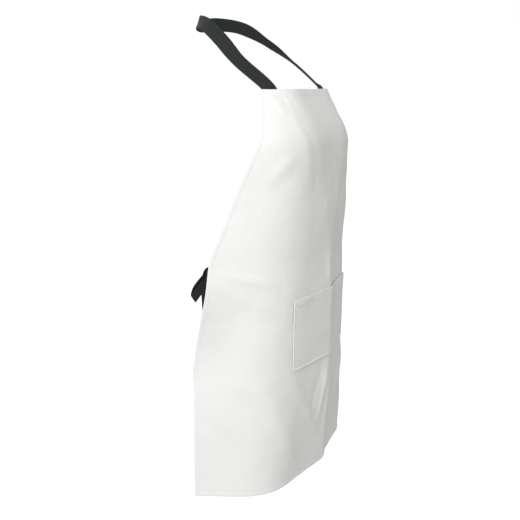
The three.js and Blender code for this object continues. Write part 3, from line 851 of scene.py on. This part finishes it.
def smooth_route(points):
    """A curve through the points, with each span's speed set by the root of its length."""
    p = np.asarray(points, float)
    p = np.vstack([2 * p[0] - p[1], p, 2 * p[-1] - p[-2]])
    out = []
    for k in range(1, len(p) - 2):
        p0, p1, p2, p3 = p[k - 1 : k + 3]
        t0 = 0.0
        t1 = t0 + np.linalg.norm(p1 - p0) ** 0.5
        t2 = t1 + np.linalg.norm(p2 - p1) ** 0.5
        t3 = t2 + np.linalg.norm(p3 - p2) ** 0.5
        for t in np.linspace(t1, t2, SPAN_STEPS, endpoint=False):
            a1 = (t1 - t) / (t1 - t0) * p0 + (t - t0) / (t1 - t0) * p1
            a2 = (t2 - t) / (t2 - t1) * p1 + (t - t1) / (t2 - t1) * p2
            a3 = (t3 - t) / (t3 - t2) * p2 + (t - t2) / (t3 - t2) * p3
            b1 = (t2 - t) / (t2 - t0) * a1 + (t - t0) / (t2 - t0) * a2
            b2 = (t3 - t) / (t3 - t1) * a2 + (t - t1) / (t3 - t1) * a3
            out.append((t2 - t) / (t2 - t1) * b1 + (t - t1) / (t2 - t1) * b2)
    out.append(p[-2])
    return np.array(out)


def spread_along(values):
    """Values given at the route's points, for every step of the smooth route."""
    values = np.asarray(values, float)
    k = np.arange((len(values) - 1) * SPAN_STEPS + 1) / SPAN_STEPS
    i = np.minimum(k.astype(int), len(values) - 2)
    t = smooth(k - i)
    if values.ndim == 1:
        return values[i] * (1 - t) + values[i + 1] * t
    return values[i] * (1 - t[:, None]) + values[i + 1] * t[:, None]


def even_steps(line, others, step):
    """The line in even steps, with the other values at each, and the distance of each."""
    run = run_along(line)
    at = np.linspace(0, run[-1], int(run[-1] / step) + 1)
    return along(run, line, at), [along(run, other, at) for other in others], at


def webbing(name, line, across, widths, cups, run, closed=False):
    """A flat strap of webbing with rounded selvedges; cups curls it across its width."""
    ahead = np.gradient(line, axis=0)
    if closed:
        ahead = np.roll(line, -1, axis=0) - np.roll(line, 1, axis=0)
    ahead /= np.linalg.norm(ahead, axis=1, keepdims=True)
    across = across - ahead * np.sum(across * ahead, axis=1, keepdims=True)
    across /= np.linalg.norm(across, axis=1, keepdims=True)
    normal = np.cross(across, ahead)
    # round the section: place across it from -1 to 1, and which face
    flat = np.linspace(-1, 1, 13)[1:-1]
    profile = [(-1.0, 0)] + [(x, 1) for x in flat] + [(1.0, 0)] + [(x, -1) for x in flat[::-1]]
    points, uvs = [], []
    for k in range(len(line)):
        half = widths[k] / 2
        for x, face in profile:
            selvedge = min(1.0, (1 - abs(x)) * half / 1.2 + 0.55)
            depth = WEB_THICK / 2 * face * selvedge
            curl = cups[k] * (x * x - 0.35)
            points.append(line[k] + across[k] * (x * half) + normal[k] * (depth + curl))
            uvs.append(((x * WEB_WIDTH / 2) * MM, run[k] * MM))
    n = len(profile)
    faces = []
    for r in range(len(line) if closed else len(line) - 1):
        a, b = r * n, ((r + 1) % len(line)) * n
        for c in range(n):
            d = (c + 1) % n
            faces.append((a + c, a + d, b + d, b + c))
    if not closed:
        faces.append(list(reversed(range(n))))
        faces.append([(len(line) - 1) * n + c for c in range(n)])
    return mesh_piece(name, points, faces, uvs, dark_webbing)


def strap_on_bib(hand, rise):
    """Middle of the neck strap's sewn end at a height above its foot."""
    drop = SEWN_LENGTH - rise
    across = np.array(hand * strap_across)
    if drop >= 0:
        return on_cloth(across, np.array(float(drop)), STRAP_OUT)
    top = on_cloth(across, np.array(0.0), STRAP_OUT, relief=False)
    foot = on_cloth(across, np.array(10.0), STRAP_OUT, relief=False)
    return top - drop * (top - foot) / np.linalg.norm(top - foot)


MIRROR = np.array([-1, 1, 1.0])
# the strap's middle over the wearer's right shoulder
SHOULDER = ((-147, 152, 56), (-120, 206, 100), (-90, 258, 134), (-46, 300, 142))
# which way the strap's width runs at those points, on either side
RIGHT_WAYS = ((0.7, -0.5, 0.5), (0.37, -0.63, 0.68), (0.25, -0.5, 0.83), (0.1, -0.3, 0.95))
LEFT_WAYS = ((-0.88, -0.43, 0.15), (-0.66, -0.58, 0.45), (-0.25, -0.5, 0.83), (-0.1, -0.3, 0.95))
LEFT_TWIST = (-0.86, -0.5, 0.02)  # just above the bib the left leg is twisted half over
STRAP_CUPS = [0.0] * 4 + [0.8, 1.2, 1.0, 0.9]


def build_neck_strap():
    """The strap from its sewn end on the wearer's right, over the nape, to its other sewn end."""
    legs = []
    for hand in (-1, 1):
        over = [np.array(p, float) + SHIFT for p in SHOULDER]
        if hand > 0:
            over = [p * MIRROR for p in over]
        foot, middle, top, above = [
            strap_on_bib(hand, rise)
            for rise in (0, SEWN_LENGTH * 0.5, SEWN_LENGTH, SEWN_LENGTH + NECK_RISE)
        ]
        away = over[0] - top
        lean = top + away * (NECK_RISE / np.linalg.norm(away))
        legs.append([foot, middle, top, (above + 2 * lean) / 3, *over])
    inner = on_cloth(np.array(-strap_across + 10), np.array(0.0), 0, False)
    outer = on_cloth(np.array(-strap_across - 10), np.array(0.0), 0, False)
    flat = (inner - outer) / np.linalg.norm(inner - outer)
    # past the nape the strap's width runs the mirrored way
    right_ways = [flat] * 4 + [np.array(w) for w in RIGHT_WAYS]
    left_ways = [flat * MIRROR] * 3 + [np.array(w) for w in (LEFT_TWIST, *LEFT_WAYS)]
    ways = [*right_ways, np.array([0, -0.15, 1.0]), *left_ways[::-1]]
    line = smooth_route([*legs[0], NAPE + SHIFT, *legs[1][::-1]])
    turned = spread_along([w / np.linalg.norm(w) for w in ways])
    cups = spread_along([*STRAP_CUPS, 0.8, *STRAP_CUPS[::-1]])
    line, (turned, cups), run = even_steps(line, [turned, cups], 2.5)
    return webbing("neck_strap_webbing", line, turned, np.full(len(line), WEB_WIDTH), cups, run)


neck_strap = build_neck_strap()
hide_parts("neck_strap", "strap_end_right", "strap_end_left")


# ---- waist ties and bow ----
LAYER = 6
KNOT_WIDTH = 24
KNOT_SIDE = 3
LOOP_REACH = 98
LOOP_DROOP = 50
LOOP_BELLY = 9
LOOP_SWING = 1.5  # how many layers backwards the loop's end swings
TAIL_LENGTH = 300
TAIL_SPLAY = 14
PINCH = 21  # width of the webbing where the knot gathers it
BAND_WIDTH = 23
BAND_HEIGHT = 27
BAND_ROUND = 6
BAND_SLANT = 0.16
UPRIGHT = np.array([0, 0, 1.0])
SIDEWAYS = np.array([-1.0, 0, 0])


def by_knot(right, layer, down):
    """A point by the knot: towards the wearer's right, layers back, and down."""
    return KNOT + np.array([-right, layer * LAYER, -down])


def fold_in_knot(layer):
    """Where the webbing folds back inside the knot, from one layer to the next."""
    return [
        by_knot(KNOT_WIDTH / 2, layer, 0),
        by_knot(KNOT_SIDE + LAYER / 2, layer, 0),
        by_knot(KNOT_SIDE, layer + 0.5, 0),
        by_knot(KNOT_SIDE + LAYER / 2, layer + 1, 0),
        by_knot(KNOT_WIDTH / 2, layer + 1, 0),
    ]


def sloping(degrees):
    """The way of the webbing's width where the loop runs down at a slope."""
    return np.array([-math.sin(math.radians(degrees)), 0, math.cos(math.radians(degrees))])


def tie_on_cloth(hand):
    """Three points down the middle of a tie's sewn end, as on the wearer's right."""
    drop = np.array(float(TIE_DROP))
    points = []
    for inward in (0, SEWN_LENGTH / 2, SEWN_LENGTH):
        across = np.array(hand * (half_width(drop) - TIE_INSET - inward))
        point = on_cloth(across, drop, TIE_OUT + folds(across, drop), relief=False)
        points.append(point * MIRROR if hand > 0 else point)
    return points


def build_tie(name, hand):
    """A tie from its sewn end to the knot, round the bow's loop, and down its tail."""
    sewn = tie_on_cloth(hand)
    to_knot = KNOT - sewn[2]
    hinge = sewn[2] + to_knot * (TIE_LEAVE / np.linalg.norm(to_knot))
    part = hinge + (KNOT - hinge) * (0.35, 0.35, 0.45)
    later = hinge + (KNOT - hinge) * (0.7, 0.7, 0.8)
    across = 21 - half_width(np.array(float(TIE_DROP)))
    upright = on_cloth(across, TIE_DROP - 20, 0, False) - on_cloth(across, TIE_DROP + 20, 0, False)
    upright /= np.linalg.norm(upright)
    belly = LOOP_BELLY / LAYER
    # each row holds a point, the way of the width there, the width and how far it cups
    rows = [(point, upright, WEB_WIDTH, 0) for point in sewn]
    rows += [
        (hinge, UPRIGHT, WEB_WIDTH, 0.4),
        (part, UPRIGHT, WEB_WIDTH, 1.0),
        (later, UPRIGHT, 29, 1.6),
    ]
    rows += [(point, UPRIGHT, PINCH, 1.0) for point in fold_in_knot(0)]
    for reach, layer, droop, slope, width, cup in (
        (0.45, 1 - belly * 0.4, 0.22, 24, 27, 2.2),
        (0.85, 0.9 + LOOP_SWING, 0.75, 40, 30, 1.0),
        (1.0, 1.6 + LOOP_SWING, 1.0, 44, 30, 0.0),
        (0.85, 2.3 + LOOP_SWING, 0.75, 40, 30, -0.8),
        (0.45, 2 + belly * 0.5, 0.22, 24, 27, -2.0),
    ):
        point = by_knot(LOOP_REACH * reach, layer, LOOP_DROOP * droop)
        rows.append((point, sloping(slope), width, cup))
    rows += [(point, UPRIGHT, PINCH, 0.8) for point in fold_in_knot(2)]
    for beside, layer, down, way, width, cup in (
        (14, 3.9, 5, np.array([-0.35, 0, 0.94]), 25, 2.0),
        (20, 4.3, 22, np.array([-0.94, 0, 0.35]), 29, 1.4),
        (20, 4.3, 50, SIDEWAYS, WEB_WIDTH, 0.8),
        (14, 4, TAIL_LENGTH * 0.5, SIDEWAYS, WEB_WIDTH, 0.6),
        (10 + TAIL_SPLAY * 0.5, 3.4, TAIL_LENGTH * 0.8, SIDEWAYS, WEB_WIDTH, 1.0),
        (12 + TAIL_SPLAY, 3.9, TAIL_LENGTH, SIDEWAYS, WEB_WIDTH, 1.4),
    ):
        rows.append((by_knot(KNOT_WIDTH / 2 + beside, layer, down), way, width, cup))
    points, ways, widths, cups = zip(*rows)
    side = MIRROR if hand > 0 else 1
    line = smooth_route(points) * side
    turned = spread_along(ways) * side
    line, (turned, widths, cups), run = even_steps(
        line, [turned, spread_along(widths), spread_along(cups)], 2.2
    )
    tie = webbing(name, line, turned, widths, cups, run)
    return tie, line, run, sewn[2] * side, hinge * side


ties = {
    "right": build_tie("waist_tie_webbing_right", -1),
    "left": build_tie("waist_tie_webbing_left", 1),
}
for side_name, (tie, *_) in ties.items():
    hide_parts("waist_tie_" + side_name, "tie_end_" + side_name)


def build_knot():
    """The turn of webbing that wraps all the folds of the bow, drawn tight and a little aslant."""
    depth = 3 * LAYER + WEB_THICK + 3
    far, high = depth / 2 - BAND_ROUND, BAND_HEIGHT / 2 - BAND_ROUND
    corners = ((far, high), (-far, high), (-far, -high), (far, -high))
    line = []
    for quarter, (y, z) in enumerate(corners):
        for angle in np.radians(90 * quarter + np.linspace(0, 90, 9)):
            reach = BAND_ROUND + 1
            line.append((0, y + reach * math.cos(angle), z + reach * math.sin(angle)))
    line = np.array(line)
    line[:, 0] = BAND_SLANT * line[:, 2]
    across = np.tile([1.0, 0, -BAND_SLANT], (len(line), 1))
    turn = np.linspace(0, 2 * math.pi, len(line), endpoint=False)
    widths = BAND_WIDTH + 1.6 * np.sin(2 * turn + 0.6)
    cups = -1.2 + 0.5 * np.sin(3 * turn)
    run = run_along(line)
    line = line + by_knot(0, 1.5, 0)
    return webbing("bow_knot_webbing", line, across, widths, cups, run, closed=True)


knot = build_knot()
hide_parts("waist_knot")

# ---- riding: each piece hung on its body, and the webbing baked in place ----
for piece in [panel, pocket, *stitching]:
    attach(piece, "apron")
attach(knot, "ties")
sewn_top, strap_hinge = [strap_on_bib(-1, SEWN_LENGTH + rise) * MM for rise in (0, NECK_RISE)]
upward = (strap_hinge - sewn_top) / NECK_RISE
upward[0] = 0
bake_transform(neck_strap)
for side_name, (tie, tie_line, tie_run, leaves, hinge) in ties.items():
    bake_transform(tie)

# ---- floor, light and camera ----
FLOOR_GAP = 0.45  # the apron hangs clear of the floor
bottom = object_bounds()[0][2]
bpy.ops.object.select_all(action="DESELECT")
bpy.ops.mesh.primitive_plane_add(size=80, location=(0, 0, bottom - FLOOR_GAP))
floor = bpy.context.object
floor.name = "studio_floor"
paper = bpy.data.materials.new("white_paper")
paper.use_nodes = True
paper_shader = paper.node_tree.nodes["Principled BSDF"]
paper_shader.inputs["Base Color"].default_value = (0.6, 0.6, 0.6, 1)
paper_shader.inputs["Roughness"].default_value = 0.9
paper_shader.inputs["Emission Color"].default_value = (1, 1, 1, 1)
looked_at = node_of(paper.node_tree, "ShaderNodeLightPath", -600, 0)
glow = node_of(paper.node_tree, "ShaderNodeMath", -300, 0, {1: 0.7}, operation="MULTIPLY")
paper.node_tree.links.new(looked_at.outputs["Is Camera Ray"], glow.inputs[0])
paper.node_tree.links.new(glow.outputs[0], paper_shader.inputs["Emission Strength"])
floor.data.materials.append(paper)

world = bpy.data.worlds.new("studio")
world.use_nodes = True
room = world.node_tree
soft_light = room.nodes["Background"]
soft_light.inputs["Color"].default_value = (1, 0.992, 0.965, 1)
soft_light.inputs["Strength"].default_value = 0.6
white_wall = node_of(room, "ShaderNodeBackground", 0, -200, {"Color": (1, 1, 1, 1)})
seen = node_of(room, "ShaderNodeLightPath", 0, 300)
wall_or_light = node_of(room, "ShaderNodeMixShader", 300, 0)
room.links.new(seen.outputs["Is Camera Ray"], wall_or_light.inputs["Fac"])
room.links.new(soft_light.outputs[0], wall_or_light.inputs[1])
room.links.new(white_wall.outputs[0], wall_or_light.inputs[2])
room.links.new(wall_or_light.outputs[0], room.nodes["World Output"].inputs["Surface"])
bpy.context.scene.world = world
bpy.context.scene.view_settings.view_transform = "Standard"

# the camera looks level along VIEW_WAY, tipped down by TILT, with BESIDE to its right
CAMERA_PLACE = (-1.792, -0.970, -0.128)
VIEW_WAY = Vector((0.9078, 0.4195, 0))
BESIDE = Vector((0.4195, -0.9078, 0))
TILT = math.radians(11.31)
SENSOR_WIDTH = 36
FOCAL_LENGTH = 60.923
LIT_POINT = Vector((0, -0.15, -0.45))


def softbox(name, place, size, power):
    """A soft square light at a place beside the apron, turned towards it."""
    data = bpy.data.lights.new(name, "AREA")
    data.size = size
    data.energy = power
    data.color = (0.975, 0.985, 1)
    lamp = bpy.data.objects.new(name, data)
    lamp.location = LIT_POINT + place
    lamp.rotation_mode = "QUATERNION"
    lamp.rotation_quaternion = (-place).to_track_quat("-Z", "Y")
    bpy.context.scene.collection.objects.link(lamp)


softbox("key", VIEW_WAY * -2.3 - BESIDE * 0.6 + Vector((0, 0, 1.25)), size=1.0, power=43)
softbox("behind", VIEW_WAY * 2.2 - BESIDE * 1.2 + Vector((0, 0, 1.2)), size=1.4, power=8)

lens = bpy.data.cameras.new("camera")
lens.sensor_width = SENSOR_WIDTH
lens.lens = FOCAL_LENGTH
camera = bpy.data.objects.new("camera", lens)
camera.location = CAMERA_PLACE
camera.rotation_mode = "QUATERNION"
look = VIEW_WAY * math.cos(TILT) - Vector((0, 0, math.sin(TILT)))
camera.rotation_quaternion = look.to_track_quat("-Z", "Y")
bpy.context.scene.collection.objects.link(camera)
bpy.context.scene.camera = camera
